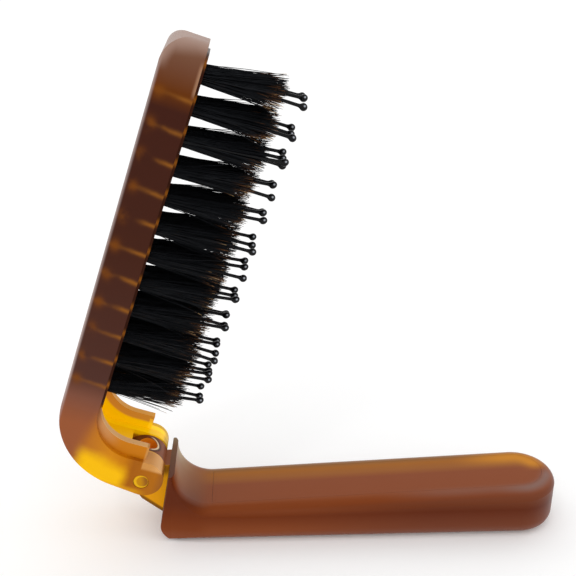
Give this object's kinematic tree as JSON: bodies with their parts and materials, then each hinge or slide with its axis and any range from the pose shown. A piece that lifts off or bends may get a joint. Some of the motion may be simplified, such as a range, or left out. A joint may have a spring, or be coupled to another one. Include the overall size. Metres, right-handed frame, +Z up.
{
  "type": "folding hairbrush",
  "caption": "Folding hairbrush: a tufted head with a mirror on its back swings on one hinge over a flat-bottomed handle.",
  "frame": {"origin": "middle of the flat underside of the handle", "axes": "+X along the handle away from the hinge, +Y across it along the hinge axis, +Z up from the underside"},
  "size_m": [0.1268, 0.023, 0.1277],
  "materials": {
    "amber_handle": "satin translucent",
    "amber_cover": "satin translucent",
    "amber_pin": "satin translucent",
    "amber_head": "satin translucent",
    "block": "satin translucent",
    "mirror": "silvered glass",
    "pad": "matte foam",
    "wire": "drawn",
    "boar": "boar hair, satin",
    "nylon": "gloss"
  },
  "bodies": {
    "handle": {"handle_shell": "amber_handle", "handle_cover": "amber_cover"},
    "head": {"head_shell": "amber_head", "bristle_block": "block", "mirror_glass": "mirror", "mirror_pad": "pad", "tuft_anchors": "wire", "hinge_pin": "amber_pin", "boar_row_01": "boar", "boar_row_02": "boar", "boar_row_03": "boar", "boar_row_04": "boar", "boar_row_05": "boar", "boar_row_06": "boar", "boar_row_07": "boar", "boar_row_08": "boar", "boar_row_09": "boar", "boar_row_10": "boar", "boar_row_11": "boar", "boar_row_12": "boar", "pin_row_01": "nylon", "pin_row_02": "nylon", "pin_row_03": "nylon", "pin_row_04": "nylon", "pin_row_05": "nylon", "pin_row_06": "nylon", "pin_row_07": "nylon", "pin_row_08": "nylon", "pin_row_09": "nylon", "pin_row_10": "nylon", "pin_row_11": "nylon", "pin_row_12": "nylon"}
  },
  "joints": [
    {"name": "fold", "type": "hinge", "parent": "handle", "child": "head", "pos_m": [-0.05668, 0, 0.019], "axis": [0, 1, 0], "range_deg": [-108.9, 65.1]}
  ]
}
